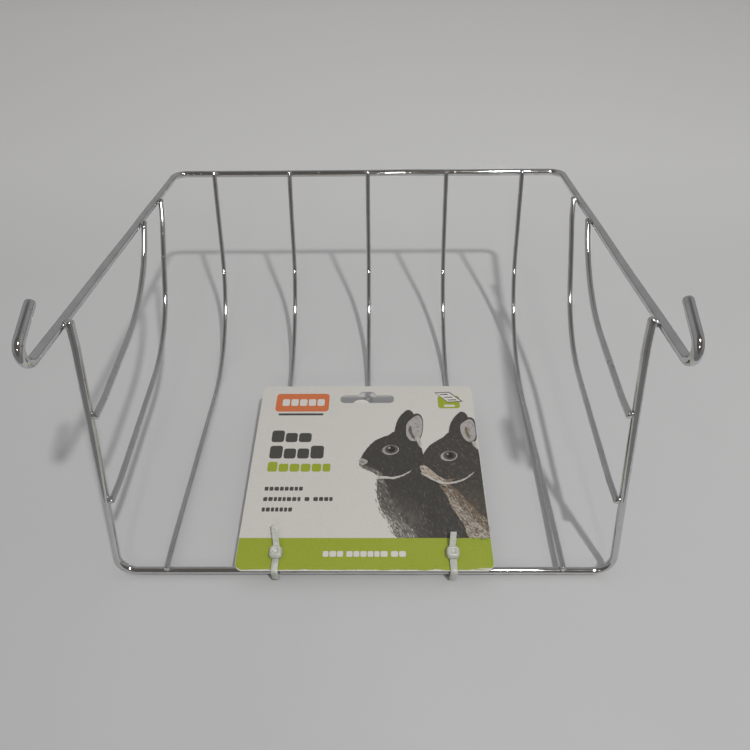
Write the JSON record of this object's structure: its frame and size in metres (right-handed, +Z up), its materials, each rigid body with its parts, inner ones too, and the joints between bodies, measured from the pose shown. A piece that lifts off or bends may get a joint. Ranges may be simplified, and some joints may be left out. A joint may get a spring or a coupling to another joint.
{
  "type": "hay rack feeder",
  "caption": "Open wire basket for hay that hangs on a cage by two hooked arms, with a header card strapped to its lower run so that the card can swing.",
  "frame": {"origin": "centre of the bounding box, on the ground plane that the basket's floor bars lie on", "axes": "+X along the rack, +Y from the near run with the card to the far run at the back of the basket, +Z up out of the basket as it lies on its floor"},
  "size_m": [0.2506, 0.2306, 0.147],
  "materials": {
    "chrome_wire": "bright plated steel wire",
    "card_stock": "printed and varnished card",
    "nylon": "natural translucent nylon"
  },
  "bodies": {
    "rack": {"hook_frame": "chrome_wire", "rim_frame": "chrome_wire", "main_bar_1": "chrome_wire", "main_bar_2": "chrome_wire", "main_bar_3": "chrome_wire", "main_bar_4": "chrome_wire", "main_bar_5": "chrome_wire", "side_bar_left_lower": "chrome_wire", "side_bar_left_upper": "chrome_wire", "side_bar_right_lower": "chrome_wire", "side_bar_right_upper": "chrome_wire"},
    "card": {"header_card": "card_stock", "tie_left": "nylon", "tie_right": "nylon"}
  },
  "joints": [
    {"name": "card_swing", "type": "hinge", "parent": "rack", "child": "card", "pos_m": [0, -0.1102, 0.0032], "axis": [1, 0, 0], "range_deg": [-7, 165]}
  ]
}
